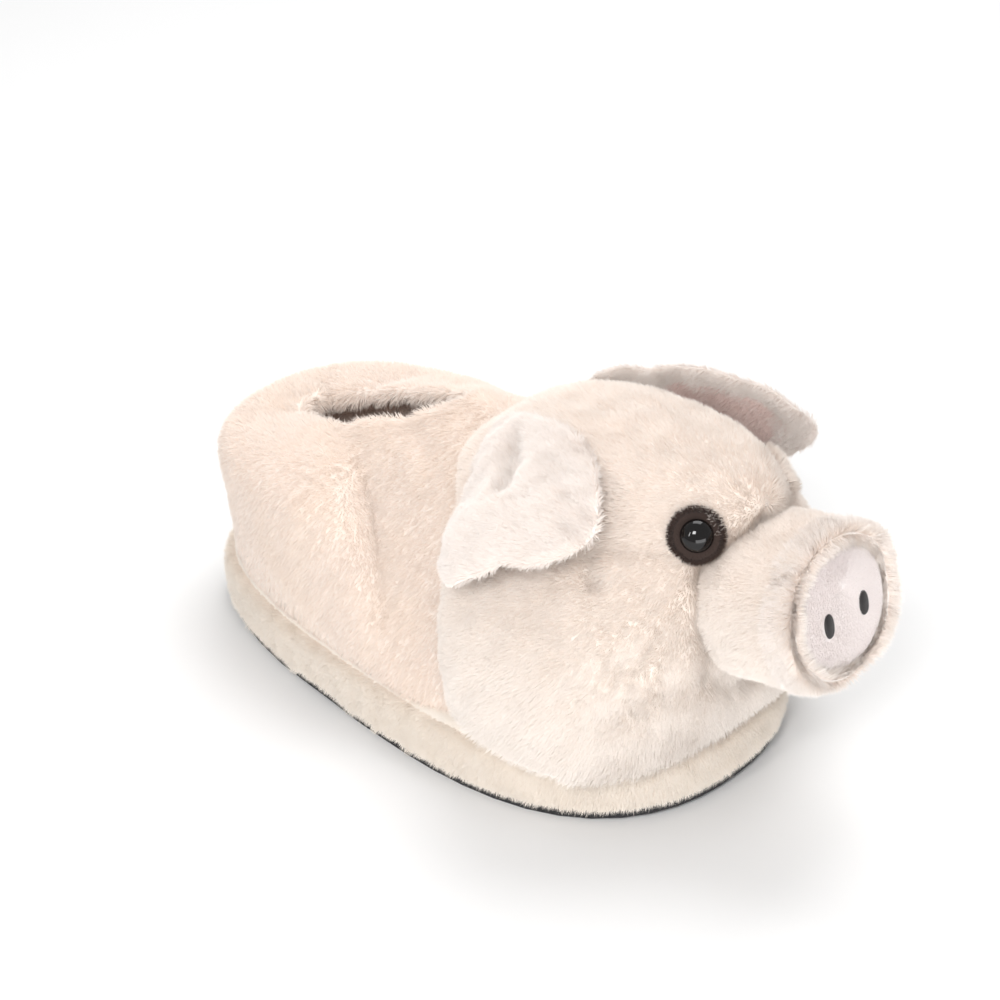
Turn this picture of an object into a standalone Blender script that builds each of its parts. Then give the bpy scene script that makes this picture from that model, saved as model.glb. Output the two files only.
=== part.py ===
"""Plush pig slipper: a hollow padded upper on a foam platform, with a stuffed pig's head over the toes.

Metres, +Z up, +X towards the toe, +Y to the wearer's left of the sole's middle line.
The origin is on the floor, under the middle of the sole. The slipper is symmetric, so it fits either foot.
Angles called turn run round the foot from the toe, 0, by the left side, a quarter turn, to the heel, a half.
"""
import bmesh
import bpy
import numpy as np
from mathutils import Vector

# Sole
LENGTH = 0.285            # platform, heel to toe
BALL_WIDTH = 0.172        # platform across the ball
HEEL_WIDTH = 0.144        # platform across the heel
BAND_HEIGHT = 0.027       # floor to the platform's top
OUTSOLE = 0.003           # tread sheet
TREAD_INSET = 0.003       # tread's edge, in from the platform's side
BAND_ROUND = 0.006        # how far the platform's side rounds in at its edges
TOE_SPRING = 0.003        # lift of the toe's tip
HEEL_LIFT = 0.0015        # lift of the heel's back edge
ARCH_RISE = 0.0015        # hollow under the waist
INSOLE = 0.005
TOE_SQUARENESS = 2.35     # powers of the outline's two halves; 2 is an ellipse
HEEL_SQUARENESS = 3.0
BALL_AT = 0.675           # shares of LENGTH from the heel
HEEL_AT = 0.185
WIDEST_AT = 0.53

# Upper
WALL = 0.008              # plush, padding and lining together
COLLAR_PAD = 0.009        # the wall's thickness at the collar
UPPER_INSET = 0.003       # wall's foot, in from the platform's side
TOE_TUCK = 0.009          # further in where the head covers it
SIDE_BULGE = 0.004        # how far the padded side swells
HEEL_BULGE = 0.0072
COLLAR_BACK = 0.091       # middle of the wall at the collar, above the floor
COLLAR_FRONT = 0.130
COLLAR_LENGTH = 0.106
COLLAR_WIDTH = 0.044
COLLAR_TAPER = 0.25       # narrowing of the collar's oval to its front
COLLAR_SET = 0.030        # collar's back, in from the platform's heel end
COLLAR_ROLL = 0.004       # radius of the lip that turns into the opening
COLLAR_SLOPE = 1.4        # above 1 the collar stays low longer before it climbs to the front
HEEL_WALL = 5.2           # powers of the wall: how upright it stands before it rounds over
SIDE_WALL = 1.19
VAMP_WALL = 2.2

# Head
HEAD_LENGTH = 0.140
HEAD_WIDTH = 0.178
HEAD_HEIGHT = 0.131       # above the platform
HEAD_OVERHANG = 0.0155    # brow, past the platform's toe
NAPE_SQUARENESS = 3.2     # power of the back half of the head's rings
HEAD_SECTIONS = (
    # rise: share of HEAD_HEIGHT; back, front: shares of HEAD_LENGTH, in from its ends;
    # half: share of half HEAD_WIDTH; brow: power of the ring's front half, 2 is round
    # rise, back, front, half, brow
    (0.000, 0.110, 0.118, 0.955, 2.5),
    (0.070, 0.070, 0.090, 0.990, 2.5),
    (0.210, 0.030, 0.060, 1.000, 2.5),
    (0.400, 0.005, 0.030, 0.945, 2.4),
    (0.595, 0.000, 0.030, 0.790, 2.1),
    (0.750, -0.075, 0.040, 0.610, 2.0),
    (0.870, 0.030, 0.070, 0.450, 2.0),
    (0.955, 0.250, 0.165, 0.310, 2.0),
    (1.000, 0.580, 0.420, 0.000, 2.0),
)

# Snout and nose
SNOUT_REACH = 0.0455      # rim of the snout, past the platform's toe
SNOUT_WIDTH = 0.078
SNOUT_HEIGHT = 0.068
SNOUT_Z = 0.108           # middle of the snout's rim, above the floor
SNOUT_TILT = 14.0         # degrees that the snout looks up
SNOUT_DEPTH = 0.068       # rim back to the end that is cut to the head
SNOUT_SECTIONS = (
    # along: share of SNOUT_DEPTH from its back; size: share of its half width and half height
    # along, size
    (0.00, 0.90),
    (0.35, 0.96),
    (0.60, 1.00),
    (0.82, 1.00),
    (0.93, 0.98),
    (0.98, 0.94),
    (1.00, 0.885),
)
NOSE_WIDTH = 0.053
NOSE_HEIGHT = 0.050
NOSE_THICK = 0.0035
NOSE_SUNK = 0.005         # bed of the nose, behind the snout's rim
NOSTRIL_SPACING = 0.023
NOSTRIL_WIDTH = 0.006
NOSTRIL_HEIGHT = 0.0105
NOSTRIL_THICK = 0.001
NOSTRIL_DROP = 0.003

# Eyes
EYE_DIAMETER = 0.0135
EYE_BULGE = 0.0048
PATCH_DIAMETER = 0.021
PATCH_THICK = 0.0012
SOCKET_DEPTH = 0.003      # the patch's bed, below the head's skin
EYES = (
    # turn: degrees round the head from its front; rise: share of HEAD_HEIGHT
    # word, side along y, turn, rise
    ("left", 1, 53.0, 0.790),
    ("right", -1, 39.0, 0.805),
)

# Ears
EAR_LENGTH = 0.092        # root to free edge
EAR_WIDTH = 0.086
EAR_THICK = 0.008
LINING_THICK = 0.002
LINING_SHARE = 0.74       # lining's edge, as a share of the way to the ear's edge
EAR_ROOT_RISE = 0.87      # share of HEAD_HEIGHT
EAR_OUTLINE = (
    # turn: degrees from the ear's spread towards its reach; size: share of half its width and length
    # turn, size
    (-105, 1.20),
    (-75, 0.93),
    (-45, 0.86),
    (-10, 0.89),
    (20, 1.03),
    (42, 1.14),
    (65, 0.94),
    (90, 0.75),
    (115, 0.82),
    (150, 0.96),
    (175, 0.90),
    (205, 0.72),
    (228, 0.92),
)

EARS = (
    # root: degrees round the head from its front;
    # spread: direction from the ear's back lobe to its front lobe, along x, outwards and up;
    # reach: the same from its root to its free edge; cup: how far its edges curl towards the head;
    # perk: how far its middle stands up
    # word, side along y, root, spread, reach, cup, perk
    ("left", 1, 141.0, (0.66, 0.12, 0.74), (0.54, 0.60, -0.59), 0.005, 0.001),
    ("right", -1, 150.0, (0.75, -0.33, 0.57), (0.40, 0.80, -0.27), 0.012, 0.002),
)

GAP = 0.0003              # clearance between pieces that touch
ROUND = 52                # points round the foot
QUARTER = np.pi / 2


def smooth(share):
    """Ease from 0 to 1, flat at both ends."""
    share = np.clip(share, 0.0, 1.0)
    return share * share * (3.0 - 2.0 * share)


def read_rows(rows, at, loop=0.0):
    """Rows of a table read at even steps along a Catmull-Rom curve; loop is the first column's full circle."""
    rows = np.array(rows, float)
    if loop:
        step = np.zeros(rows.shape[1])
        step[0] = loop
        rows = np.vstack([rows[-1] - step, rows, rows[0] + step, rows[1] + step])
    else:
        rows = np.vstack([2 * rows[0] - rows[1], rows, 2 * rows[-1] - rows[-2]])
    at = np.asarray(at, float)
    low = np.clip(at.astype(int), 0, len(rows) - 4)
    part = (at - low)[..., None]
    a, b, c, d = (rows[low + k] for k in range(4))
    return b + 0.5 * part * (c - a + part * (2 * a - 5 * b + 4 * c - d + part * (3 * (b - c) + d - a)))


def across_at(x, inset=0.0):
    """Half width that the platform's taper gives at x, before its ends are rounded."""
    ball, heel = (BALL_AT - 0.5) * LENGTH, (HEEL_AT - 0.5) * LENGTH
    share = (x - heel) / (ball - heel)
    return (HEEL_WIDTH + (BALL_WIDTH - HEEL_WIDTH) * share) / 2 - inset


def outline(turn, inset=0.0):
    """Sole outline: a superellipse with a squarer heel, on a width that tapers from ball to heel."""
    along, across = np.cos(turn), np.sin(turn)
    middle = (WIDEST_AT - 0.5) * LENGTH
    power = np.where(along > 0, TOE_SQUARENESS, HEEL_SQUARENESS)
    reach = (np.abs(along) ** power + np.abs(across) ** power) ** (-1 / power)
    half = np.where(along > 0, LENGTH / 2 - middle, LENGTH / 2 + middle) - inset
    x = middle + half * along * reach
    return x, across_at(x, inset) * across * reach


def spring(x):
    """Lift that the toe gives to everything on the sole."""
    return TOE_SPRING * np.clip((x / LENGTH - 0.28) / 0.22, 0.0, 1.5) ** 2


def tread(x):
    """Height of the tread: flat under heel and forefoot, hollow at the waist, sprung at toe and heel."""
    share = x / LENGTH + 0.5
    arch = ARCH_RISE * smooth(1 - np.abs(share - 0.37) / 0.09)
    heel = HEEL_LIFT * np.clip(1 - share / 0.06, 0.0, 1.0) ** 2
    return spring(x) + arch + heel


def deck(x):
    """Height at which pieces sit on the platform's top."""
    return BAND_HEIGHT + GAP + spring(x)


def turns(count=ROUND):
    return np.arange(count) * (2 * np.pi / count)


def normals_of(grid):
    """Outward normals of a grid of rings that run from the sole up, each ring counter-clockwise."""
    round_way = np.roll(grid, -1, axis=1) - np.roll(grid, 1, axis=1)
    up_way = np.gradient(grid, axis=0)
    normal = np.cross(round_way, up_way)
    return normal / np.maximum(np.linalg.norm(normal, axis=2, keepdims=True), 1e-12)


def loft(name, rings, colour, roughness=0.9, closed=False, cutter=False):
    """Skin a list of rings; the ends are capped, or join each other in a closed loft."""
    mesh = bpy.data.meshes.new(name)
    shape = bmesh.new()
    rows = [[shape.verts.new(point) for point in ring] for ring in rings]
    pairs = list(zip(rows, rows[1:]))
    if closed:
        pairs.append((rows[-1], rows[0]))
    for low, high in pairs:
        skin(shape, low, high)
    if not closed:
        for end in (rows[0], rows[-1]):
            cap(shape, end)
    bmesh.ops.recalc_face_normals(shape, faces=shape.faces)
    shape.to_mesh(mesh)
    shape.free()
    mesh.shade_smooth()
    mesh.set_sharp_from_angle(angle=np.radians(50))
    made = bpy.data.objects.new(name, mesh)
    bpy.context.collection.objects.link(made)
    mesh.materials.append(finish(name, colour, roughness))
    if cutter:
        made.hide_render = True
        made.display_type = "WIRE"
    return made


def skin(shape, low, high):
    """Triangles between two rings, all split the same way so that a piece and its grown cutter stay parallel."""
    count = max(len(low), len(high))
    for k in range(count):
        corners = [low[k % len(low)], low[(k + 1) % len(low)], high[(k + 1) % len(high)], high[k % len(high)]]
        face = []
        for corner in corners:
            if corner not in face:
                face.append(corner)
        shape.faces.new(face[:3])
        if len(face) > 3:
            shape.faces.new((face[0], face[2], face[3]))


def cap(shape, ring):
    """Close a ring with strips from one side straight across to the other, so its height depends on x alone."""
    half = len(ring) // 2
    for k in range(half):
        face = []
        for corner in (ring[k], ring[k + 1], ring[-k - 1], ring[-k]):
            if corner not in face:
                face.append(corner)
        shape.faces.new(face)


def finish(name, colour, roughness):
    material = bpy.data.materials.new(name)
    material.use_nodes = True
    shader = material.node_tree.nodes["Principled BSDF"]
    shader.inputs["Base Color"].default_value = (*colour, 1.0)
    shader.inputs["Roughness"].default_value = roughness
    shader.inputs["Metallic"].default_value = 0.0
    material.diffuse_color = (*colour, 1.0)
    return material


def cut(piece, cutter):
    """Take the cutter's solid out of the piece."""
    step = piece.modifiers.new("fit " + cutter.name, "BOOLEAN")
    step.operation = "DIFFERENCE"
    step.solver = "EXACT"
    step.object = cutter


CREAM = (0.93, 0.80, 0.69)
BAND_CREAM = (0.87, 0.73, 0.61)
LINING_TAN = (0.72, 0.53, 0.45)
EAR_PINK = (0.77, 0.56, 0.53)
NOSE_LILAC = (0.82, 0.73, 0.70)
RUBBER = (0.03, 0.03, 0.035)
STITCH_BLACK = (0.015, 0.012, 0.012)
PATCH_BROWN = (0.05, 0.025, 0.018)
EYE_BLACK = (0.004, 0.004, 0.004)


def slab_ring(inset, height, turn):
    """One ring of the sole; height is a function of x."""
    x, y = outline(turn, inset)
    return np.stack([x, y, height(x)], axis=1)


def make_sole():
    turn = turns()

    def between(share):
        """Height of a level of the platform, from its underside over the tread, 0, to its top, 1."""
        return lambda x: (1 - share) * (tread(x) + OUTSOLE + GAP) + share * (BAND_HEIGHT + spring(x))

    edge = np.linspace(-1, 1, 7)
    rings = [slab_ring(BAND_ROUND * (1 - np.sqrt(1 - 0.999 * level ** 4)), between((level + 1) / 2), turn)
             for level in edge]
    loft("midsole", rings, BAND_CREAM)

    rings = [slab_ring(TREAD_INSET, tread, turn),
             slab_ring(TREAD_INSET, lambda x: tread(x) + OUTSOLE, turn)]
    loft("outsole", rings, RUBBER, 0.85)

    _, outer, inner, _ = upper_faces(turn)
    loft("insole", [insole_ring(outer, inner, height) for height in (0.0, INSOLE)], LINING_TAN)


def insole_ring(outer, inner, height):
    """Edge of the insole at a height above the platform, set in from the upper's inner face."""
    level = deck(inner[0, :, 0]) + height
    x, y = ([np.interp(z, column[:4, 2], column[:4, axis]) for z, column in zip(level, inner.swapaxes(0, 1))]
            for axis in (0, 1))
    out = (outer - inner)[0, :, :2]
    out /= np.linalg.norm(out, axis=1, keepdims=True)
    x, y = x - GAP * out[:, 0], y - GAP * out[:, 1]
    return np.stack([x, y, deck(x) + height], axis=1)


def wall_foot(turn, inset=0.0):
    """Foot of the upper's wall: the outline, tucked further in under the head."""
    x, _ = outline(turn, UPPER_INSET)
    tuck = TOE_TUCK * smooth((x - head_back()) / (HEAD_LENGTH / 3))
    return outline(turn, UPPER_INSET + tuck + inset)


def collar(turn):
    """Ridge of the collar, along the middle of the wall: an oval that climbs to the front."""
    middle = COLLAR_SET + COLLAR_LENGTH / 2 - LENGTH / 2
    x = middle + COLLAR_LENGTH / 2 * np.cos(turn)
    y = COLLAR_WIDTH / 2 * np.sin(turn) * (1 - COLLAR_TAPER * np.cos(turn))
    climb = ((1 + np.cos(turn)) / 2) ** COLLAR_SLOPE
    return x, y, COLLAR_BACK + (COLLAR_FRONT - COLLAR_BACK) * climb


def upper_middle(turn, levels, rolls):
    """Middle of the upper's wall, as rings: a quarter superellipse from sole to collar, then the lip's roll."""
    foot_x, foot_y = wall_foot(turn, WALL / 2)
    rim_x, rim_y, rim_z = collar(turn)
    out = np.stack([foot_x - rim_x, foot_y - rim_y], axis=1)
    out /= np.linalg.norm(out, axis=1, keepdims=True)
    front = smooth((np.cos(turn) + 0.1) / 0.9)
    back = smooth((0.1 - np.cos(turn)) / 0.8)
    power = SIDE_WALL + (VAMP_WALL - SIDE_WALL) * front + (HEEL_WALL - SIDE_WALL) * back
    swell = SIDE_BULGE * (1 - front) + (HEEL_BULGE - SIDE_BULGE) * back
    rings = []
    for level in levels:
        up = np.sin(level * QUARTER) ** (2 / power)
        inward = 1 - np.cos(level * QUARTER) ** (2 / power)
        bulge = swell * np.sin(np.pi * level)
        low = deck(foot_x)
        rings.append(np.stack([foot_x + (rim_x - foot_x) * inward + out[:, 0] * bulge,
                               foot_y + (rim_y - foot_y) * inward + out[:, 1] * bulge,
                               low + (rim_z - low) * up], axis=1))
    for roll in rolls:
        turned = roll * QUARTER
        rings.append(np.stack([rim_x - out[:, 0] * COLLAR_ROLL * np.sin(turned),
                               rim_y - out[:, 1] * COLLAR_ROLL * np.sin(turned),
                               rim_z - COLLAR_ROLL * (1 - np.cos(turned))], axis=1))
    return np.array(rings)


UPPER_LEVELS = (0.0, 0.11, 0.22, 0.34, 0.46, 0.58, 0.70, 0.81, 0.91, 1.0)
LIP_ROLLS = (0.45, 0.9)


def upper_faces(turn):
    """Middle, outer face, inner face and outward normals of the upper's wall, as rings."""
    middle = upper_middle(turn, UPPER_LEVELS, LIP_ROLLS)
    normal = normals_of(middle)
    normal[0, :, 2] = 0.0
    levels = np.array(UPPER_LEVELS + (1.0,) * len(LIP_ROLLS))[:, None, None]
    half = (WALL + (COLLAR_PAD - WALL) * smooth(2 * levels - 1)) / 2
    outer = middle + normal * half
    inner = middle - normal * half
    for side in (outer, inner):
        side[0, :, 2] = deck(side[0, :, 0])
    return middle, outer, inner, normal


def make_upper():
    middle, outer, inner, normal = upper_faces(turns())
    along = middle[-1] - middle[-2]
    along /= np.linalg.norm(along, axis=1, keepdims=True)
    lip = [middle[-1] + COLLAR_PAD / 2 * (normal[-1] * np.cos(a) + along * np.sin(a))
           for a in np.linspace(0, np.pi, 5)[1:-1]]
    rings = list(outer) + lip + list(inner[::-1])
    loft("upper", rings, CREAM, closed=True)
    grown = outer + normal * GAP
    grown[0, :, 2] = outer[0, :, 2]
    under = grown[0] - (0.0, 0.0, WALL)
    top = grown[-1].mean(axis=0, keepdims=True)
    return loft("cut_upper", [under] + list(grown) + [top], CREAM, cutter=True)


def head_back():
    return LENGTH / 2 + HEAD_OVERHANG - HEAD_LENGTH


def head_ring(turn, at, grow=0.0):
    """Ring of the head at a place in its table: a superellipse between its back and its front."""
    rise, back, front, half, brow = read_rows(HEAD_SECTIONS, at).T
    start = head_back() + back * HEAD_LENGTH - grow
    end = head_back() + (1 - front) * HEAD_LENGTH + grow
    along, across = np.cos(turn), np.sin(turn)
    power = np.where(along > 0, brow, NAPE_SQUARENESS)
    reach = (np.abs(along) ** power + np.abs(across) ** power) ** (-1 / power)
    x = (start + end) / 2 + (end - start) / 2 * along * reach
    y = (HEAD_WIDTH / 2 * half + grow) * across * reach
    z = BAND_HEIGHT + GAP + HEAD_HEIGHT * rise + spring(x) * (1 - rise)
    return np.stack([x, y, z], axis=-1)


def head_place(rise):
    """Place in the head's table where its rise is reached."""
    places = np.linspace(0, len(HEAD_SECTIONS) - 1, 400)
    return np.interp(rise, read_rows(HEAD_SECTIONS, places)[:, 0], places)


def head_seat(turn, rise):
    """Point on the head's skin and the way out of it there."""
    place = head_place(rise)
    step = 0.01
    point, round_way, up_way = (head_ring(np.array([turn + a]), np.array([place + b]))[0]
                                for a, b in ((0, 0), (step, 0), (0, step)))
    normal = Vector(round_way - point).cross(Vector(up_way - point)).normalized()
    return Vector(point), normal


def head_rings(grow=0.0):
    last = len(HEAD_SECTIONS) - 1
    places = np.concatenate([np.linspace(0, last - 1, 15), last - 1 + np.array([0.35, 0.65, 0.85])])
    rings = [head_ring(turns(), np.full(ROUND, place), grow) for place in places]
    pole = head_ring(np.zeros(1), np.array([last], float))
    rings.append(pole)
    for ring in rings[len(places) // 2:]:
        ring[:, 2] += grow
    return rings


def make_head(cut_upper):
    head = loft("head", head_rings(), CREAM)
    cut(head, cut_upper)
    rings = head_rings(GAP)
    rings[0][:, 2] -= GAP
    return head, loft("cut_head", rings, CREAM, cutter=True)


def ovals(count, size, depth, middle=(0.0, 0.0), power=2.2):
    """Oval facing along the snout, a depth behind the middle of its rim; size and middle are (across, up)."""
    turn = turns(count)
    side, high = np.cos(turn), np.sin(turn)
    reach = (np.abs(side) ** power + np.abs(high) ** power) ** (-1 / power)
    across = middle[0] + size[0] * side * reach
    up = middle[1] + size[1] * high * reach
    tilt = np.radians(SNOUT_TILT)
    x = LENGTH / 2 + SNOUT_REACH - depth * np.cos(tilt) - up * np.sin(tilt)
    z = SNOUT_Z - depth * np.sin(tilt) + up * np.cos(tilt)
    return np.stack([x, across, z], axis=1)


def make_snout(cut_head):
    count = 36
    half = np.array([SNOUT_WIDTH, SNOUT_HEIGHT]) / 2
    nose = np.array([NOSE_WIDTH, NOSE_HEIGHT]) / 2
    table = read_rows(SNOUT_SECTIONS, np.linspace(0, len(SNOUT_SECTIONS) - 1, 11))
    rings = [ovals(count, half * size, SNOUT_DEPTH * (1 - along)) for along, size in table]
    for spare, depth in ((0.005, 0.10), (0.0025, 0.45), (2 * GAP, 1.0)):
        rings.append(ovals(count, nose + spare, NOSE_SUNK * depth))
    cut(loft("snout", rings, CREAM), cut_head)

    back = NOSE_SUNK - GAP
    rings = [ovals(count, nose * size, back - NOSE_THICK * along)
             for along, size in ((0, 0.97), (0.25, 1.0), (0.7, 0.985), (0.93, 0.94), (1.0, 0.86))]
    loft("nose_disc", rings, NOSE_LILAC)

    front = back - NOSE_THICK - GAP
    hole = np.array([NOSTRIL_WIDTH, NOSTRIL_HEIGHT]) / 2
    for side, word in ((1, "left"), (-1, "right")):
        middle = (side * NOSTRIL_SPACING / 2, -NOSTRIL_DROP)
        rings = [ovals(16, hole * size, front - NOSTRIL_THICK * along, middle)
                 for along, size in ((0, 1.0), (0.5, 0.96), (1.0, 0.7))]
        loft("nostril_" + word, rings, STITCH_BLACK)


def turned(name, seat, way, profile, colour, roughness, count=24):
    """A round piece turned on a line out of its seat; the profile holds radius and height pairs."""
    across = way.cross(Vector((0, 0, 1))).normalized()
    up = across.cross(way).normalized()
    turn = turns(count)[:, None]
    rings = []
    for radius, height in profile:
        middle = np.array(seat + way * height)
        if radius > 0:
            rings.append(middle + radius * (np.cos(turn) * np.array(across) + np.sin(turn) * np.array(up)))
        else:
            rings.append(middle[None, :])
    return loft(name, rings, colour, roughness)


def make_eyes(head):
    radius = PATCH_DIAMETER / 2
    for word, side, eye_turn, rise in EYES:
        seat, way = head_seat(side * np.radians(eye_turn), rise)
        wide = radius + GAP
        socket = turned("cut_eye_" + word, seat, way, ((wide, -SOCKET_DEPTH), (wide, radius)), PATCH_BROWN, 0.9)
        socket.hide_render = True
        socket.display_type = "WIRE"
        cut(head, socket)

        bed = GAP - SOCKET_DEPTH
        profile = ((radius, bed), (radius, bed + PATCH_THICK * 0.5), (radius * 0.93, bed + PATCH_THICK))
        turned("eye_patch_" + word, seat, way, profile, PATCH_BROWN, 0.9)
        base = bed + PATCH_THICK + GAP
        dome = [(EYE_DIAMETER / 2 * np.cos(a), base + EYE_BULGE * np.sin(a)) for a in np.linspace(0, QUARTER, 7)]
        dome[-1] = (0.0, base + EYE_BULGE)
        turned("eye_" + word, seat, way, dome, EYE_BLACK, 0.08)


def ear_axes(spread, reach):
    """An ear's own directions, made square to each other: spread, reach and out of its back."""
    spread = Vector(spread).normalized()
    reach = Vector(reach)
    reach = (reach - spread * reach.dot(spread)).normalized()
    back = spread.cross(reach)
    return np.array(spread), np.array(reach), np.array(back)


def ear_sheet(ear, share, turn, lift):
    """Points of an ear: a share of the way to its edge at a turn, lifted off its middle towards its back."""
    _, side, root_place, spread, reach, cup, perk = ear
    spread, reach, back = ear_axes(spread, reach)
    table = read_rows(EAR_OUTLINE, np.linspace(0, len(EAR_OUTLINE), 721), loop=360.0)
    size = np.interp(np.degrees(turn), table[:, 0], table[:, 1])
    root_turn, root_size = EAR_OUTLINE[0]
    root = np.radians(root_turn)
    along = share * size * np.cos(turn)
    down = share * size * np.sin(turn)
    dip = cup * (along ** 2 + np.maximum(down, 0) ** 2) - perk * (1 - share ** 2)
    seat, _ = head_seat(np.radians(root_place), EAR_ROOT_RISE)
    place = (np.array(seat) + (along - root_size * np.cos(root))[:, None] * EAR_WIDTH / 2 * spread
             + (down - root_size * np.sin(root))[:, None] * EAR_LENGTH / 2 * reach
             + (lift - dip)[:, None] * back)
    place[:, 1] *= side
    return place


def ear_level(ear, share, turn, face, depth=0.0):
    """Ring of an ear's skin; face is 1 on its back and -1 on its inner side, depth goes further out."""
    if share == 0:
        turn = turn[:1]
    thick = EAR_THICK / 2 * np.sqrt(max(1 - share ** 4, 0)) + depth
    return ear_sheet(ear, share, turn, np.full(len(turn), face * thick))


def make_ears(cut_head):
    count = 30
    turn = np.radians(EAR_OUTLINE[0][0]) + turns(count)
    shares = (0.0, 0.3, 0.57, 0.78, 0.93)
    for ear in EARS:
        rings = [ear_level(ear, share, turn, 1) for share in shares]
        rings.append(ear_level(ear, 1.0, turn, 1))
        rings += [ear_level(ear, share, turn, -1) for share in shares[::-1]]
        cut(loft("ear_" + ear[0], rings, CREAM), cut_head)

        rings = []
        for depth in (GAP, GAP + LINING_THICK):
            rings.append([ear_level(ear, share * LINING_SHARE, turn, -1, depth) for share in (0, 0.4, 0.75, 1.0)])
        cut(loft("ear_lining_" + ear[0], rings[0] + rings[1][::-1], EAR_PINK), cut_head)


def main():
    for old in list(bpy.data.objects):
        bpy.data.objects.remove(old, do_unlink=True)
    make_sole()
    cut_upper = make_upper()
    head, cut_head = make_head(cut_upper)
    make_snout(cut_head)
    make_eyes(head)
    make_ears(cut_head)


main()
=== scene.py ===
# %% [markdown]
# # A plush pig slipper, dressed for its picture
#
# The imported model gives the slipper's solids. This script gives them their cloth: skins of plush over
# padding, a pile of fine hairs on each skin, short felt on the nose, stitched nostrils and polished eyes.
# Every piece is worked out from the same sizes as the solids, in metres, +X to the toe and +Z up.

import bmesh
import bpy
import numpy as np
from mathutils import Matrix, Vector


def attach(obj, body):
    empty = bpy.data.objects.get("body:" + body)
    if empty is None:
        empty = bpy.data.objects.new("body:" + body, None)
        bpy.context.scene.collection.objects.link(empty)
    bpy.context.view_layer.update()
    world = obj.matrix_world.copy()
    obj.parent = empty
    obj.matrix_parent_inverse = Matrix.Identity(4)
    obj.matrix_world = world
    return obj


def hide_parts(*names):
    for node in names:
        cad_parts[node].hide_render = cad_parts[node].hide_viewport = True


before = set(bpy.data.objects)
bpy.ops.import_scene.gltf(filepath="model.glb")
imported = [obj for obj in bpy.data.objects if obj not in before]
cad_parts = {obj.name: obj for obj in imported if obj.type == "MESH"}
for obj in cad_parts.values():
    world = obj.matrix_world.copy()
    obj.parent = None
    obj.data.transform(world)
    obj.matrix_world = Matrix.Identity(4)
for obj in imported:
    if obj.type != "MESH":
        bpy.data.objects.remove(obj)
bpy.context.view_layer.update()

# %% [markdown]
# The camera comes first. A long lens from a little over a metre away looks down on the toe from the
# side, as in a shop's product picture, so the near cheek, the snout and the far ear all show.

# %% Camera
AZIMUTH, ELEVATION = np.radians((41.9, 31.0))
DISTANCE = 1.2
LENS = 95.43
TARGET = Vector((-0.0212, 0.0295, 0.0601))
back = Vector((np.sin(AZIMUTH) * np.cos(ELEVATION), -np.cos(AZIMUTH) * np.cos(ELEVATION), np.sin(ELEVATION)))
glass = bpy.data.cameras.new("camera")
glass.lens = LENS
glass.sensor_width = 36.0
camera = bpy.data.objects.new("camera", glass)
bpy.context.scene.collection.objects.link(camera)
camera.location = TARGET + back * DISTANCE
camera.rotation_mode = "QUATERNION"
camera.rotation_quaternion = back.to_track_quat("Z", "Y")
bpy.context.scene.camera = camera
print("camera at", [round(c, 3) for c in camera.location])

# %% [markdown]
# Most pieces are rings skinned one above another. A grid holds them: one row for each ring, one column
# for each place round it. Two helpers turn a grid into a mesh, and one finds the way out of it.

# %% Grids and meshes


def turns(count):
    """Even steps round a full circle."""
    return np.arange(count) * (2 * np.pi / count)


def unit(vectors):
    """Vectors divided by their lengths."""
    return vectors / np.maximum(np.linalg.norm(vectors, axis=-1, keepdims=True), 1e-12)


def smooth(share):
    """Ease from 0 to 1 as 3s^2 - 2s^3, flat at both ends."""
    share = np.clip(share, 0.0, 1.0)
    return share * share * (3.0 - 2.0 * share)


def read_rows(rows, at, loop=0.0):
    """Rows of a table read along a Catmull-Rom curve; loop is the first column's full circle."""
    rows = np.array(rows, float)
    if loop:
        step = np.zeros(rows.shape[1])
        step[0] = loop
        rows = np.vstack([rows[-1] - step, rows, rows[0] + step, rows[1] + step])
    else:
        rows = np.vstack([2 * rows[0] - rows[1], rows, 2 * rows[-1] - rows[-2]])
    at = np.asarray(at, float)
    low = np.clip(at.astype(int), 0, len(rows) - 4)
    part = (at - low)[..., None]
    a, b, c, d = (rows[low + k] for k in range(4))
    return b + 0.5 * part * (c - a + part * (2 * a - 5 * b + 4 * c - d + part * (3 * (b - c) + d - a)))


def way_out(grid, loop=False):
    """Unit normals of a grid: the way round crossed with the way up; a pole takes its neighbours' mean."""
    round_way = np.roll(grid, -1, axis=1) - np.roll(grid, 1, axis=1)
    if loop:
        up_way = np.roll(grid, -1, axis=0) - np.roll(grid, 1, axis=0)
    else:
        up_way = np.gradient(grid, axis=0)
    normal = unit(np.cross(round_way, up_way))
    for row, near in ((0, 1), (-1, -2)):
        if not loop and np.ptp(grid[row], axis=0).max() < 1e-7:
            normal[row] = unit(normal[near].mean(axis=0))
    return normal


def with_poles(grid):
    """The grid with a pole, the mean of the end ring, put at each end."""
    ends = [np.repeat(grid[row][None].mean(axis=1, keepdims=True), grid.shape[1], axis=1) for row in (0, -1)]
    return np.concatenate([ends[0], grid, ends[1]])


def mesh_of(name, places, faces):
    """Mesh from arrays of points and of equal-sided faces."""
    mesh = bpy.data.meshes.new(name)
    mesh.vertices.add(len(places))
    mesh.vertices.foreach_set("co", np.ascontiguousarray(places, np.float32).ravel())
    mesh.loops.add(faces.size)
    mesh.loops.foreach_set("vertex_index", np.ascontiguousarray(faces, np.int32).ravel())
    mesh.polygons.add(len(faces))
    mesh.polygons.foreach_set("loop_start", np.arange(0, faces.size, faces.shape[1], dtype=np.int32))
    mesh.update(calc_edges=True)
    return mesh


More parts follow.
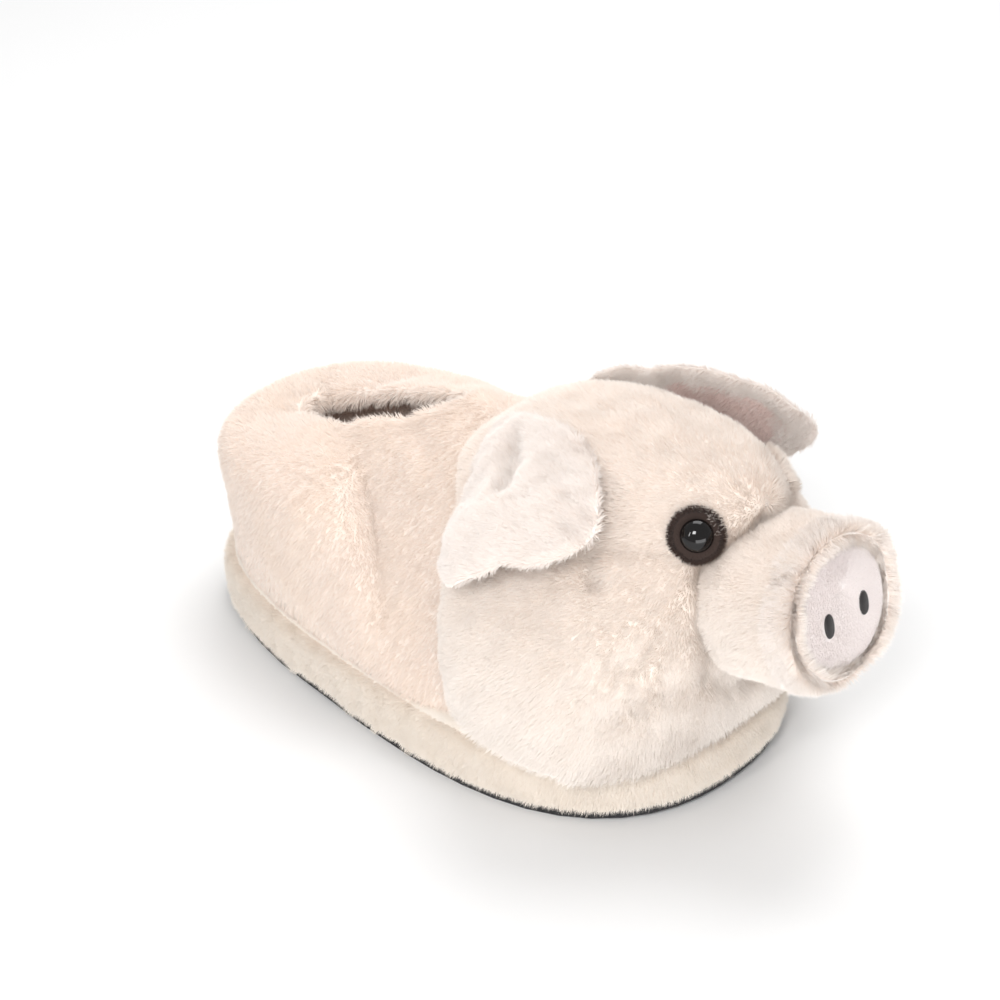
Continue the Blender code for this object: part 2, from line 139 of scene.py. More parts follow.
def skin(name, grid, material, loop=False, cover=None):
    """Closed skin of a grid. Each ring closes, and in a loop the rows do too; cover is where pile grows."""
    rows, columns = grid.shape[:2]
    index = np.arange(rows * columns).reshape(rows, columns)
    right = np.roll(index, -1, axis=1)
    low, high = (index, np.roll(index, -1, axis=0)) if loop else (index[:-1], index[1:])
    low_right, high_right = (right, np.roll(right, -1, axis=0)) if loop else (right[:-1], right[1:])
    faces = np.stack([low, low_right, high_right, high], axis=-1).reshape(-1, 4)
    mesh = mesh_of(name, grid.reshape(-1, 3), faces)
    if cover is not None:
        held = mesh.attributes.new("cover", "FLOAT", "POINT")
        held.data.foreach_set("value", np.broadcast_to(cover, grid.shape[:2]).astype(np.float32).ravel())
    shape = bmesh.new()
    shape.from_mesh(mesh)
    bmesh.ops.remove_doubles(shape, verts=shape.verts, dist=1e-6)
    bmesh.ops.recalc_face_normals(shape, faces=shape.faces)
    shape.to_mesh(mesh)
    shape.free()
    mesh.shade_smooth()
    mesh.materials.append(material)
    piece = bpy.data.objects.new(name, mesh)
    bpy.context.scene.collection.objects.link(piece)
    print(name, len(mesh.polygons), "faces")
    return piece


def wear(piece, slot, *nodes, fill=None):
    """Join a piece to the frame: it rides on the one body and stands for nodes, which it hides; slot is not
    used.
    """
    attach(piece, "root")
    if nodes:
        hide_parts(*nodes)


# %% [markdown]
# Plush is woven cloth with a cut pile standing on it. Seen close, each hair is darker at its root, where
# little light gets in, and pale at its tip. The hair's own height is kept on the mesh as an attribute
# called tip, and each hair's chance shade as tone. The material reads both, so hair and skin share it.
# Slow noise in object space varies the colour as dye and handling do.

# %% Plush material


def principled(name, rough, sheen=0.0, coat=0.0):
    """A new material with its shader; the shader's constants are set on its own sockets."""
    material = bpy.data.materials.new(name)
    material.use_nodes = True
    shader = material.node_tree.nodes["Principled BSDF"]
    shader.inputs["Roughness"].default_value = rough
    shader.inputs["Sheen Weight"].default_value = sheen
    shader.inputs["Sheen Roughness"].default_value = 0.5
    shader.inputs["Coat Weight"].default_value = coat
    shader.inputs["Coat Roughness"].default_value = 0.05
    return material, material.node_tree, shader


def noise(tree, scale, detail=3.0, rough=0.55):
    """Noise on object coordinates, scale in waves per metre."""
    where = tree.nodes.new("ShaderNodeTexCoord")
    grain = tree.nodes.new("ShaderNodeTexNoise")
    grain.inputs["Scale"].default_value = scale
    grain.inputs["Detail"].default_value = detail
    grain.inputs["Roughness"].default_value = rough
    tree.links.new(where.outputs["Object"], grain.inputs["Vector"])
    return grain.outputs["Fac"]


def ranged(tree, value, low, high, to_low, to_high):
    """Value moved from one range to another, held inside it."""
    node = tree.nodes.new("ShaderNodeMapRange")
    tree.links.new(value, node.inputs["Value"])
    for socket, number in zip(("From Min", "From Max", "To Min", "To Max"), (low, high, to_low, to_high)):
        node.inputs[socket].default_value = number
    return node.outputs["Result"]


def blend(tree, share, first, second):
    """Mix of two colours; each is a socket or three numbers."""
    node = tree.nodes.new("ShaderNodeMix")
    node.data_type = "RGBA"
    tree.links.new(share, node.inputs["Factor"])
    for socket, colour in ((node.inputs[6], first), (node.inputs[7], second)):
        if isinstance(colour, tuple):
            socket.default_value = (*colour, 1.0)
        else:
            tree.links.new(colour, socket)
    return node.outputs[2]


def bump(tree, shader, height, depth, strength=1.0):
    """Bump of a depth in metres into the shader's normal."""
    node = tree.nodes.new("ShaderNodeBump")
    node.inputs["Distance"].default_value = depth
    node.inputs["Strength"].default_value = strength
    tree.links.new(height, node.inputs["Height"])
    tree.links.new(node.outputs["Normal"], shader.inputs["Normal"])


def attribute(tree, name):
    node = tree.nodes.new("ShaderNodeAttribute")
    node.attribute_name = name
    return node.outputs["Fac"]


def height(tree):
    """Height above the floor, for pieces whose origin is the world's."""
    where = tree.nodes.new("ShaderNodeTexCoord")
    parts = tree.nodes.new("ShaderNodeSeparateXYZ")
    tree.links.new(where.outputs["Object"], parts.inputs["Vector"])
    return parts.outputs["Z"]


def plush(name, root, tip, faded, low=None, sheen=0.15):
    """Pile colour: root to tip along each hair, faded in slow patches, toned hair by hair, and painted paler
    low down: painted light on the lower head, which lies in shade.
    """
    material, tree, shader = principled(name, 0.9, sheen)
    hair = blend(tree, attribute(tree, "tip"), root, tip)
    patches = ranged(tree, noise(tree, 28.0), 0.42, 0.62, 0.0, 0.5)
    cloth = blend(tree, patches, hair, faded)
    tones = ranged(tree, attribute(tree, "tone"), 0.0, 1.0, 0.0, 0.16)
    shader_colour = blend(tree, tones, cloth, root)
    # Painted light: below the head's middle the colour turns towards the paler low colour, lifting the shaded
    # chin and lower cheeks.
    if low:
        shader_colour = blend(tree, ranged(tree, height(tree), 0.045, 0.115, 0.7, 0.0), shader_colour, low)
    tree.links.new(shader_colour, shader.inputs["Base Color"])
    bump(tree, shader, noise(tree, 900.0, 4.0), 0.0004)
    return material


cream = plush("cream_plush", (0.93, 0.78, 0.68), (0.99, 0.915, 0.85), (0.98, 0.86, 0.76))
# The face's last colour is the paler one painted low down: painted light on the shaded chin and lower cheeks.
face = plush("face_plush", (0.93, 0.80, 0.71), (0.99, 0.93, 0.87), (0.98, 0.88, 0.80), (0.98, 0.92, 0.865))
pale = plush("pale_plush", (0.95, 0.84, 0.77), (0.99, 0.945, 0.905), (0.985, 0.91, 0.86))
beige = plush("band_plush", (0.95, 0.83, 0.72), (0.99, 0.935, 0.86), (0.985, 0.90, 0.80))
# Tan: a lining colour, darker than the cream, that is also painted shade for the dim inside of the shoe.
tan_lining_and_shade = plush("lining_plush", (0.82, 0.64, 0.55), (0.95, 0.82, 0.74), (0.92, 0.76, 0.68))
pink = plush("ear_plush", (0.86, 0.65, 0.60), (0.96, 0.82, 0.77), (0.94, 0.77, 0.72))
lilac = plush("nose_plush", (0.84, 0.75, 0.73), (0.93, 0.87, 0.85), (0.90, 0.83, 0.82))
brown = plush("patch_pile", (0.012, 0.006, 0.005), (0.075, 0.040, 0.030), (0.05, 0.03, 0.022), sheen=0.1)

# %% [markdown]
# The pile itself. A hair of short plush is straight and thin, so one slim triangle is enough for each,
# wide at the root and pointed at the tip. What makes them read as plush is how they lie: they lean from
# the skin's normal towards the way that the cloth is combed, and slow waves turn neighbours together,
# so that they part into soft tufts. Everything is worked out for all hairs at once.

# %% Pile
TUFT_SPACING, LOCK_SPACING = 0.012, 0.005      # slow and quick waves that turn hairs together
STRAY = 0.10                                   # each hair's own chance lean
LEAST_RISE = 0.3                               # no hair lies flatter than this, as a cosine
ROOT_DEPTH = 0.0002                            # hairs start a little under the skin
FLOOR_CLEARANCE = 0.0006


def ripple(points, length, seed, parts=7):
    """Slow vector noise: sums of sine waves in chance directions, about one length apart."""
    rng = np.random.default_rng(seed)
    ways = unit(rng.normal(size=(parts, 3))) * (2 * np.pi / length) * rng.uniform(0.6, 1.5, (parts, 1))
    phase = rng.uniform(0, 2 * np.pi, (parts, 3))
    weight = rng.normal(size=(parts, 3))
    total = sum(weight[k] * np.sin((points @ ways[k])[:, None] + phase[k]) for k in range(parts))
    return total / np.sqrt(parts)


def arrays_of(piece):
    """A skin's points, triangles, normals and cover as arrays."""
    mesh = piece.data
    mesh.calc_loop_triangles()
    places = np.empty(len(mesh.vertices) * 3, np.float32)
    mesh.vertices.foreach_get("co", places)
    corners = np.empty(len(mesh.loop_triangles) * 3, np.int32)
    mesh.loop_triangles.foreach_get("vertices", corners)
    normals = np.empty(len(mesh.vertices) * 3, np.float32)
    mesh.vertex_normals.foreach_get("vector", normals)
    cover = np.ones(len(mesh.vertices), np.float32)
    if "cover" in mesh.attributes:
        mesh.attributes["cover"].data.foreach_get("value", cover)
    return places.reshape(-1, 3), corners.reshape(-1, 3), normals.reshape(-1, 3), cover


def pile(name, base, count, length, comb, material, seed, lean=50.0, width=0.00042, tuft=0.13, keep=None):
    """Hairs on a skin: roots in proportion to area and cover, each leaning from the normal to the comb."""
    rng = np.random.default_rng(seed)
    places, corners, normals, cover = arrays_of(base)
    sides = places[corners]
    area = np.linalg.norm(np.cross(sides[:, 1] - sides[:, 0], sides[:, 2] - sides[:, 0]), axis=1)
    weight = area * cover[corners].mean(axis=1)
    if keep is not None:
        weight = weight * keep(sides.mean(axis=1), normals[corners].mean(axis=1))
    pick = np.searchsorted(np.cumsum(weight) / weight.sum(), rng.random(count))
    pick = np.minimum(pick, len(weight) - 1)
    share = rng.random((count, 2))
    share = np.where(share.sum(axis=1, keepdims=True) > 1, 1 - share, share)[:, :, None]
    tri = sides[pick]
    root = tri[:, 0] + share[:, 0] * (tri[:, 1] - tri[:, 0]) + share[:, 1] * (tri[:, 2] - tri[:, 0])
    out = unit(normals[corners[pick]].mean(axis=1))

    along = comb(root)
    along = unit(along - out * (along * out).sum(axis=1, keepdims=True))
    wave = ripple(root, TUFT_SPACING, seed) + 0.6 * ripple(root, LOCK_SPACING, seed + 1)
    tip_way = out * np.cos(np.radians(lean)) + along * np.sin(np.radians(lean))
    tufts = tuft(root)[:, None] if callable(tuft) else tuft
    tip_way = tip_way + tufts * wave + STRAY * rng.normal(size=root.shape)
    rise = (tip_way * out).sum(axis=1, keepdims=True)
    tip_way = unit(tip_way + out * np.maximum(LEAST_RISE - rise, 0))
    tall = length(root) if callable(length) else np.full(count, length)
    tall = (tall * rng.uniform(0.7, 1.15, count))[:, None]
    side = unit(np.cross(tip_way, out)) * (width / 2)
    side = side * rng.uniform(0.7, 1.2, count)[:, None]
    tip = root + tip_way * tall
    tip[:, 2] = np.maximum(tip[:, 2], FLOOR_CLEARANCE)
    foot = root - out * ROOT_DEPTH
    corners_of_hair = np.stack([foot - side, foot + side, tip], axis=1)

    mesh = mesh_of(name, corners_of_hair.reshape(-1, 3), np.arange(count * 3).reshape(-1, 3))
    for word, values in (("tip", np.tile((0.0, 0.0, 1.0), count)), ("tone", np.repeat(rng.random(count), 3))):
        mesh.attributes.new(word, "FLOAT", "POINT").data.foreach_set("value", values.astype(np.float32))
    cells = int(np.ceil(np.sqrt(count)))
    cell = np.stack(np.divmod(np.arange(count), cells), axis=1)[:, None, :]
    flat = (cell + np.array(((0.15, 0.15), (0.85, 0.15), (0.5, 0.85)))) / cells
    mesh.uv_layers.new(name="OFBake").data.foreach_set("uv", flat.astype(np.float32).ravel())
    mesh.materials.append(material)
    piece = bpy.data.objects.new(name, mesh)
    bpy.context.scene.collection.objects.link(piece)
    print(name, count, "hairs on", round(float(area.sum()) / 2 * 1e4), "square centimetres")
    return piece


def mark_tips(piece, height=0.8):
    """Give a skin the tip and tone values of its pile."""
    for word, value in (("tip", height), ("tone", 0.5)):
        held = piece.data.attributes.new(word, "FLOAT", "POINT")
        held.data.foreach_set("value", np.full(len(piece.data.vertices), value, np.float32))


# %% [markdown]
# Sole sizes, the same as the solids' own. The platform of such a slipper is a block of foam with the
# plush wrapped round its edge. The outline is a superellipse whose heel half is squarer than its toe,
# on a width that tapers to the heel, and the toe springs up a little.

# %% The foot's outline
LENGTH, BALL_WIDTH, HEEL_WIDTH = 0.285, 0.172, 0.144
BAND_HEIGHT, OUTSOLE, BAND_ROUND, TOE_SPRING = 0.027, 0.003, 0.006, 0.003
HEEL_LIFT, ARCH_RISE = 0.0015, 0.0015
TOE_SQUARENESS, HEEL_SQUARENESS = 2.35, 3.0
BALL_AT, HEEL_AT, WIDEST_AT = 0.675, 0.185, 0.53
GAP = 0.0003
PILE = 0.003              # the skin lies this far under the solids' faces, which are the pile's tips


def outline(turn, inset=0.0):
    """Half width from the taper, times a superellipse whose power changes at the widest place."""
    along, across = np.cos(turn), np.sin(turn)
    middle = (WIDEST_AT - 0.5) * LENGTH
    power = np.where(along > 0, TOE_SQUARENESS, HEEL_SQUARENESS)
    reach = (np.abs(along) ** power + np.abs(across) ** power) ** (-1 / power)
    half = np.where(along > 0, LENGTH / 2 - middle, LENGTH / 2 + middle) - inset
    x = middle + half * along * reach
    ball, heel = (BALL_AT - 0.5) * LENGTH, (HEEL_AT - 0.5) * LENGTH
    wide = (HEEL_WIDTH + (BALL_WIDTH - HEEL_WIDTH) * (x - heel) / (ball - heel)) / 2 - inset
    return x, wide * across * reach


def spring(x):
    """Toe lift: a square law of the distance past a quarter of the length from the middle."""
    return TOE_SPRING * np.clip((x / LENGTH - 0.28) / 0.22, 0.0, 1.5) ** 2


def tread(x):
    """Underside: flat under heel and forefoot, hollow at the waist, lifted at the back edge."""
    share = x / LENGTH + 0.5
    arch = ARCH_RISE * smooth(1 - np.abs(share - 0.37) / 0.09)
    return spring(x) + arch + HEEL_LIFT * np.clip(1 - share / 0.06, 0.0, 1.0) ** 2


def deck(x):
    return BAND_HEIGHT + GAP + spring(x)


# %% [markdown]
# The band is the platform's padded edge: a barrel profile carried round the outline, closed flat above
# and below. Its pile is combed down and back, and at its lower edge longer hairs hang over the tread.

# %% Band
band_turn = turns(220)
band_rows = []
for level in np.linspace(-1, 1, 26):
    inset = BAND_ROUND * (1 - np.sqrt(1 - 0.999 * level ** 4)) + PILE * 0.8
    x, y = outline(band_turn, inset)
    share = (level + 1) / 2
    low = tread(x) + OUTSOLE + GAP
    band_rows.append(np.stack([x, y, (1 - share) * low + share * (BAND_HEIGHT + spring(x))], axis=1))
band_grid = np.array(band_rows)
band = skin("band_skin", with_poles(band_grid), beige)
mark_tips(band)
wear(band, "band_plush", "midsole", fill=0.9)


def at_the_edge(points, normals):
    """1 on the band's side and shoulders, 0 on its flat top and underside."""
    return (np.abs(normals[:, 2]) < 0.9).astype(float)


def down_and_back(points):
    return np.broadcast_to((-0.25, 0.0, -1.0), points.shape)


band_pile = pile("band_pile", band, 120000, 0.0044, down_and_back, beige, 11, lean=52, tuft=0.11,
                 keep=at_the_edge)
wear(band_pile, "band_plush", "midsole")


def lower_edge(points, normals):
    """The band's lowest part; the fringe hangs thick at the heel and waist, and is rubbed thin at the toe."""
    low = (points[:, 2] < 0.0075) & (np.abs(normals[:, 2]) < 0.97)
    return low * (1 - 0.9 * smooth((points[:, 0] - 0.035) / 0.03))


fringe = pile("band_fringe", band, 20000, 0.0060, down_and_back, beige, 12, lean=60, keep=lower_edge,
              width=0.00044, tuft=0.2)
wear(fringe, "band_plush", "midsole")

# %% [markdown]
# The upper is one hollow padded shell. Its middle surface is a quarter superellipse from the sole to the
# collar's ridge, whose power changes round the foot: upright at the heel, a soft slope at the sides.
# Offsetting that surface both ways gives the outer and inner faces, and a half round joins them at the
# lip. The folds that the collar takes from its own slack are troughs that run down from the lip.

# %% Upper sizes
WALL, COLLAR_PAD, UPPER_INSET, TOE_TUCK = 0.008, 0.009, 0.003, 0.009
SIDE_BULGE, HEEL_BULGE = 0.004, 0.0072
COLLAR_BACK, COLLAR_FRONT, COLLAR_LENGTH, COLLAR_WIDTH = 0.091, 0.130, 0.106, 0.044
COLLAR_TAPER, COLLAR_SET, COLLAR_ROLL, COLLAR_SLOPE = 0.25, 0.030, 0.004, 1.4
HEEL_WALL, SIDE_WALL, VAMP_WALL = 5.2, 1.19, 2.2
HEAD_LENGTH, HEAD_WIDTH, HEAD_HEIGHT, HEAD_OVERHANG = 0.140, 0.178, 0.131, 0.0155
HEAD_BACK = LENGTH / 2 + HEAD_OVERHANG - HEAD_LENGTH
QUARTER = np.pi / 2


def wall_foot(turn, inset=0.0):
    """Foot of the wall: the outline, tucked further in under the head."""
    x, _ = outline(turn, UPPER_INSET)
    tuck = TOE_TUCK * smooth((x - HEAD_BACK) / (HEAD_LENGTH / 3))
    return outline(turn, UPPER_INSET + tuck + inset)


def upper_middle(turn, levels, rolls):
    """Rings of the wall's middle: up is sin^(2/p), inward is 1 - cos^(2/p), and a swell in between."""
    foot_x, foot_y = wall_foot(turn, WALL / 2)
    middle = COLLAR_SET + COLLAR_LENGTH / 2 - LENGTH / 2
    rim_x = middle + COLLAR_LENGTH / 2 * np.cos(turn)
    rim_y = COLLAR_WIDTH / 2 * np.sin(turn) * (1 - COLLAR_TAPER * np.cos(turn))
    rim_z = COLLAR_BACK + (COLLAR_FRONT - COLLAR_BACK) * ((1 + np.cos(turn)) / 2) ** COLLAR_SLOPE
    out = unit(np.stack([foot_x - rim_x, foot_y - rim_y], axis=1))
    front = smooth((np.cos(turn) + 0.1) / 0.9)
    heel = smooth((0.1 - np.cos(turn)) / 0.8)
    power = SIDE_WALL + (VAMP_WALL - SIDE_WALL) * front + (HEEL_WALL - SIDE_WALL) * heel
    swell = SIDE_BULGE * (1 - front) + (HEEL_BULGE - SIDE_BULGE) * heel
    level = np.asarray(levels)[:, None]
    up = np.sin(level * QUARTER) ** (2 / power)
    inward = 1 - np.maximum(np.cos(level * QUARTER), 0) ** (2 / power)
    bulge = swell * np.sin(np.pi * level)
    low = deck(foot_x)
    wall = np.stack([foot_x + (rim_x - foot_x) * inward + out[:, 0] * bulge,
                     foot_y + (rim_y - foot_y) * inward + out[:, 1] * bulge,
                     low + (rim_z - low) * up], axis=2)
    roll = np.asarray(rolls)[:, None] * QUARTER
    lip = np.stack([rim_x - out[:, 0] * COLLAR_ROLL * np.sin(roll),
                    rim_y - out[:, 1] * COLLAR_ROLL * np.sin(roll),
                    rim_z - COLLAR_ROLL * (1 - np.cos(roll))], axis=2)
    return np.concatenate([wall, lip])


# %% [markdown]
# The upper's cloth follows both faces of that shell and closes over the lip, so it is one loop of rings.
# A fold is a bell-shaped trough in the skin, fading out below the collar. The inner face is fleece, tan lower
# down; the tan is also painted shade for the dim inside.

# %% Upper's skin
COLLAR_FOLDS = (
    # turn: degrees round the foot; deep: metres; wide: degrees
    # turn, deep, wide
    (62, 0.0022, 7.0),
    (98, 0.0030, 5.0),
    (124, 0.0022, 6.0),
    (160, 0.0016, 8.0),
    (214, 0.0014, 9.0),
    (262, 0.0016, 8.0),
    (300, 0.0018, 7.0),
)
upper_turn = turns(240)
levels = 1 - (1 - np.linspace(0, 1, 46)) ** 1.3
rolls = (0.3, 0.6, 0.9)
middle = upper_middle(upper_turn, levels, rolls)
upper_out = way_out(middle)
upper_out[0, :, 2] = 0.0
padding = np.concatenate([smooth(2 * levels - 1), np.ones(len(rolls))])[:, None, None]
half = (WALL + (COLLAR_PAD - WALL) * padding) / 2
outer_face = middle + upper_out * half
fold = sum(deep * np.exp(-((np.degrees(upper_turn) - turn) / wide) ** 2) for turn, deep, wide in COLLAR_FOLDS)
near_lip = np.concatenate([smooth((levels - 0.55) / 0.4), np.ones(len(rolls))])[:, None, None]
fold = fold[None, :, None] * near_lip
outer = outer_face - upper_out * (PILE + fold)
inner = middle - upper_out * (half - 0.001) + upper_out * fold * 0.4
for side in (outer, inner):
    side[0, :, 2] = deck(side[0, :, 0])
along = unit(middle[-1] - middle[-2])
radius = (np.linalg.norm(outer[-1] - inner[-1], axis=1) / 2)[:, None]
ridge = (outer[-1] + inner[-1]) / 2
lip_angle = np.linspace(0, np.pi, 8)[1:-1, None, None]
lip = ridge + radius * (upper_out[-1] * np.cos(lip_angle) + along * np.sin(lip_angle))
shell = np.concatenate([outer, lip, inner[::-2]])
rows_outer = len(outer) + 4
inner_rows = len(shell) - rows_outer
cover = np.concatenate([np.ones(rows_outer), smooth(2.4 - np.arange(inner_rows) / 8)])
upper = skin("upper_skin", shell, cream, loop=True, cover=cover[:, None])
mark_tips(upper)
# The lower inner faces take the tan, a lining colour that is also painted shade for the dim inside of the
# shoe.
upper.data.materials.append(tan_lining_and_shade)
lined = np.repeat(np.arange(len(shell)) > rows_outer + 15, len(upper_turn)).astype(np.int32)
upper.data.polygons.foreach_set("material_index", lined)
wear(upper, "cream_plush", "upper", fill=0.8)


def clear_of_head(points, normals):
    """1 where the head doesn't cover the upper; its hidden front needs no pile."""
    return (points[:, 0] < HEAD_BACK + 0.030).astype(float) * (points[:, 2] > BAND_HEIGHT)


def collar_hair(points):
    """Longer pile round the collar's mouth, an oval of the rim's own size."""
    middle = COLLAR_SET + COLLAR_LENGTH / 2 - LENGTH / 2
    oval = np.hypot((points[:, 0] - middle) / (COLLAR_LENGTH / 2), points[:, 1] / (COLLAR_WIDTH / 2))
    return 0.0036 + 0.0012 * smooth((1.25 - oval) / 0.3)


upper_pile = pile("upper_pile", upper, 168000, collar_hair, down_and_back, cream, 21, lean=54, tuft=0.09,
                  keep=clear_of_head)
wear(upper_pile, "cream_plush", "upper")

# %% [markdown]
# The head is a stuffed ball of plush over the toes. Each of its rings is a superellipse between its own
# back and front, and a short table gives the rings from the band up to the crown. Fabric gathered round
# the snout and the ears leaves soft troughs. They are laid along short paths of places on the head.

# %% Head sizes
NAPE_SQUARENESS = 3.2
HEAD_SECTIONS = (
    # rise, back, front, half, brow
    (0.000, 0.110, 0.118, 0.955, 2.5),
    (0.070, 0.070, 0.090, 0.990, 2.5),
    (0.210, 0.030, 0.060, 1.000, 2.5),
    (0.400, 0.005, 0.030, 0.945, 2.4),
    (0.595, 0.000, 0.030, 0.790, 2.1),
    (0.750, -0.075, 0.040, 0.610, 2.0),
    (0.870, 0.030, 0.070, 0.450, 2.0),
    (0.955, 0.250, 0.165, 0.310, 2.0),
    (1.000, 0.580, 0.420, 0.000, 2.0),
)


def head_points(turn, place):
    """Points of the head at a turn and a place in its table, which may be whole arrays."""
    rise, start, end, half, brow = np.moveaxis(read_rows(HEAD_SECTIONS, place), -1, 0)
    start = HEAD_BACK + start * HEAD_LENGTH
    end = HEAD_BACK + (1 - end) * HEAD_LENGTH
    along, across = np.cos(turn), np.sin(turn)
    power = np.where(along > 0, brow, NAPE_SQUARENESS)
    reach = (np.abs(along) ** power + np.abs(across) ** power) ** (-1 / power)
    x = (start + end) / 2 + (end - start) / 2 * along * reach
    y = HEAD_WIDTH / 2 * half * across * reach
    z = BAND_HEIGHT + GAP + HEAD_HEIGHT * rise + spring(x) * (1 - rise)
    return np.stack([x, y, z], axis=-1)


def head_place(rise):
    """Place in the table where a rise is reached."""
    places = np.linspace(0, len(HEAD_SECTIONS) - 1, 400)
    return np.interp(rise, read_rows(HEAD_SECTIONS, places)[:, 0], places)


def head_seat(turn, rise):
    """Point on the head and the way out there, from two short steps."""
    place = head_place(rise)
    point, round_way, up_way = (head_points(np.array(turn + a), np.array(place + b))
                                for a, b in ((0, 0), (0.01, 0), (0, 0.01)))
    return point, unit(np.cross(round_way - point, up_way - point))


# %% [markdown]
# A crease is drawn as a bell-shaped trough along a path of places, given by turn and rise so that it
# moves with the head. The head sits over the upper like a cap, so the upper's form is cut out of it.

# %% Head's skin
CREASES = (
    # path of (turn in degrees, rise), then deep and wide in metres; each is laid on both sides
    (((50, 0.757), (60.5, 0.757), (70, 0.744)), 0.0026, 0.0036),
    (((73, 0.719), (71.5, 0.693), (70, 0.667)), 0.0042, 0.0042),
    (((31.5, 0.70), (25.5, 0.488), (20.5, 0.326), (9.5, 0.215), (0, 0.19)), 0.0034, 0.0060),
    (((31.5, 0.70), (26, 0.75), (13, 0.77), (0, 0.80)), 0.0030, 0.0050),
)


def path_distance(points, path):
    """Shortest distance of each point to a path's straight stretches."""
    best = np.full(points.shape[:-1], np.inf)
    for start, end in zip(path, path[1:]):
        run = end - start
        share = np.clip(((points - start) @ run) / (run @ run), 0, 1)
        best = np.minimum(best, np.linalg.norm(points - start - share[..., None] * run, axis=-1))
    return best


head_places = np.concatenate([np.linspace(0, 7, 72), 7 + np.linspace(0, 1, 16)[1:] ** 0.8])[:, None]
head_grid = head_points(turns(220)[None, :], head_places)
head_out = way_out(head_grid)
sink = np.full(head_grid.shape[:2], PILE)
for stops, deep, wide in CREASES:
    for side in (1, -1):
        path = [head_points(np.radians(side * turn), head_place(rise)) for turn, rise in stops]
        sink += deep * np.exp(-(path_distance(head_grid, path) / wide) ** 2)
head_skin_grid = head_grid - head_out * sink[..., None]
head_skin_grid[:, :, 2] = np.maximum(head_skin_grid[:, :, 2], deck(head_skin_grid[:, :, 0]))
head = skin("head_skin", with_poles(head_skin_grid)[:-1], face)

under = outer_face[0] - (0.0, 0.0, 0.006)
cutter_grid = np.concatenate([under[None], outer_face - upper_out * (PILE - GAP)])
cutter = skin("upper_form", with_poles(cutter_grid), face)
fit = head.modifiers.new("over the upper", "BOOLEAN")
fit.operation = "DIFFERENCE"
fit.solver = "EXACT"
fit.object = cutter
bpy.context.view_layer.update()
fitted = bpy.data.meshes.new_from_object(head.evaluated_get(bpy.context.evaluated_depsgraph_get()))
head.modifiers.clear()
head.data = fitted
bpy.data.objects.remove(cutter)
fitted.shade_smooth()
mark_tips(head)
print("head fitted over the upper:", len(fitted.polygons), "faces")
wear(head, "cream_plush", "head", fill=0.9)

# %% [markdown]
# The snout is a short barrel with a rolled rim round a sunk bed, where the nose is sewn in. Its rings are
# ovals on a line that looks up a little. The size of each comes from a table read along that line.

# %% Snout sizes
SNOUT_REACH, SNOUT_WIDTH, SNOUT_HEIGHT, SNOUT_Z = 0.0455, 0.078, 0.068, 0.108
SNOUT_TILT, SNOUT_DEPTH = np.radians(14.0), 0.068
SNOUT_SECTIONS = (
    # share of the way from the face to the rim, share of the snout's size
    (0.00, 0.90), (0.35, 0.96), (0.60, 1.00), (0.82, 1.00), (0.93, 0.98), (0.98, 0.94), (1.00, 0.885),
)
NOSE_WIDTH, NOSE_HEIGHT, NOSE_THICK, NOSE_SUNK = 0.053, 0.050, 0.0035, 0.005
NOSTRIL_SPACING, NOSTRIL_WIDTH, NOSTRIL_HEIGHT, NOSTRIL_DROP = 0.023, 0.006, 0.0105, 0.003
SNOUT_MIDDLE = np.array((LENGTH / 2 + SNOUT_REACH, 0.0, SNOUT_Z))
SNOUT_AHEAD = np.array((np.cos(SNOUT_TILT), 0.0, np.sin(SNOUT_TILT)))
SNOUT_UP = np.array((-np.sin(SNOUT_TILT), 0.0, np.cos(SNOUT_TILT)))
SIDEWAYS = np.array((0.0, 1.0, 0.0))


def oval_points(turn, wide, high, depth, middle=(0.0, 0.0), power=2.2):
    """Superellipse of half sizes wide and high, a depth behind the middle of the snout's rim."""
    side, rise = np.cos(turn), np.sin(turn)
    reach = (np.abs(side) ** power + np.abs(rise) ** power) ** (-1 / power)
    across = middle[0] + wide * side * reach
    up = middle[1] + high * rise * reach
    return (SNOUT_MIDDLE + across[..., None] * SIDEWAYS + up[..., None] * SNOUT_UP
            - np.broadcast_to(depth, across.shape)[..., None] * SNOUT_AHEAD)


# %% [markdown]
# The snout's skin runs along the barrel, over the rolled rim and down to the nose's bed. Slow lumps keep
# it from looking turned on a lathe. Its pile lies back towards the face, and the rim's is longer.

# %% Snout
snout_turn = turns(150)[None, :]
table = read_rows(SNOUT_SECTIONS, np.linspace(0.6, len(SNOUT_SECTIONS) - 1, 34))
depth = np.maximum(SNOUT_DEPTH * (1 - table[:, 0]), PILE * 0.7)
wide = SNOUT_WIDTH / 2 * table[:, 1] - PILE
high = SNOUT_HEIGHT / 2 * table[:, 1] - PILE
rim_roll = np.linspace(0.15, 1, 7)
depth = np.concatenate([depth, PILE * 0.7 + NOSE_SUNK * rim_roll ** 2 * 0.9])
wide = np.concatenate([wide, wide[-1] + (NOSE_WIDTH / 2 - 0.002 - wide[-1]) * rim_roll])
high = np.concatenate([high, high[-1] + (NOSE_HEIGHT / 2 - 0.002 - high[-1]) * rim_roll])
snout_grid = oval_points(snout_turn, wide[:, None], high[:, None], depth[:, None])
lumps = ripple(snout_grid.reshape(-1, 3), 0.030, 5)[:, 0].reshape(snout_grid.shape[:2])
snout_grid = snout_grid + way_out(snout_grid) * (lumps * 0.0006)[..., None]
snout = skin("snout_skin", with_poles(snout_grid), pale)
mark_tips(snout, 1.0)
wear(snout, "cream_plush", "snout", fill=0.9)


def snout_depth(points):
    return (SNOUT_MIDDLE - points) @ SNOUT_AHEAD


